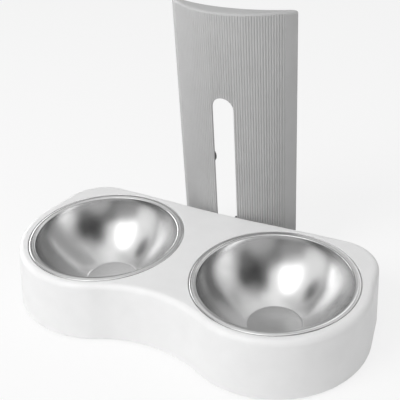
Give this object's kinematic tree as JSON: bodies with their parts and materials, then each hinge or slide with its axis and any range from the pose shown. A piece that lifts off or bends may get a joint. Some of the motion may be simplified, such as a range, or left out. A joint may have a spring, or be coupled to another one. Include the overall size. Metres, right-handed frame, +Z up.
{
  "type": "height adjustable double pet bowl",
  "caption": "Kidney-shaped tray with steel bowls that drop in; the tray slides up and down a curved fluted back panel and is clamped by a knob behind it.",
  "frame": {"origin": "middle of the box round the whole stand, on the surface that it stands on", "axes": "+Z up, +X to the right seen from the front, front (waist of the tray) towards -Y, back panel towards +Y"},
  "size_m": [0.3032, 0.1789, 0.2235],
  "materials": {
    "tray_white": "satin moulded plastic",
    "panel_grey": "matte moulded plastic",
    "base_grey": "matte moulded plastic",
    "clamp_grey": "matte moulded plastic",
    "knob_black": "fine textured plastic",
    "rubber_black": "matte",
    "bowl_steel": "satin stainless steel",
    "zinc_steel": "zinc plated"
  },
  "bodies": {
    "stand": {"base_plate": "base_grey", "back_panel": "panel_grey", "base_screws": "zinc_steel", "foot_left_front": "rubber_black", "foot_left_side": "rubber_black", "foot_left_rear": "rubber_black", "foot_right_front": "rubber_black", "foot_right_side": "rubber_black", "foot_right_rear": "rubber_black", "bumper_left": "rubber_black", "bumper_right": "rubber_black"},
    "tray": {"tray_shell": "tray_white", "saddle": "clamp_grey", "saddle_screws": "zinc_steel", "grip_pad": "rubber_black", "clamp_bolt": "zinc_steel", "clamp_plate": "clamp_grey", "clamp_washer": "zinc_steel"},
    "knob": {"clamp_knob": "knob_black", "knob_nut": "zinc_steel"},
    "bowl_left": {"left_bowl": "bowl_steel"},
    "bowl_right": {"right_bowl": "bowl_steel"}
  },
  "joints": [
    {"name": "tray_height", "type": "slide", "parent": "stand", "child": "tray", "axis": [0, 0, 1], "range_m": [0, 0.118]},
    {"name": "knob_turn", "type": "hinge", "parent": "tray", "child": "knob", "pos_m": [0, 0.0775, 0.0183], "axis": [0, 1, 0], "range_deg": [0, 360]},
    {"name": "left_bowl_lift", "type": "slide", "parent": "tray", "child": "bowl_left", "axis": [0, 0, 1], "range_m": [0, 0.08]},
    {"name": "right_bowl_lift", "type": "slide", "parent": "tray", "child": "bowl_right", "axis": [0, 0, 1], "range_m": [0, 0.08]}
  ]
}
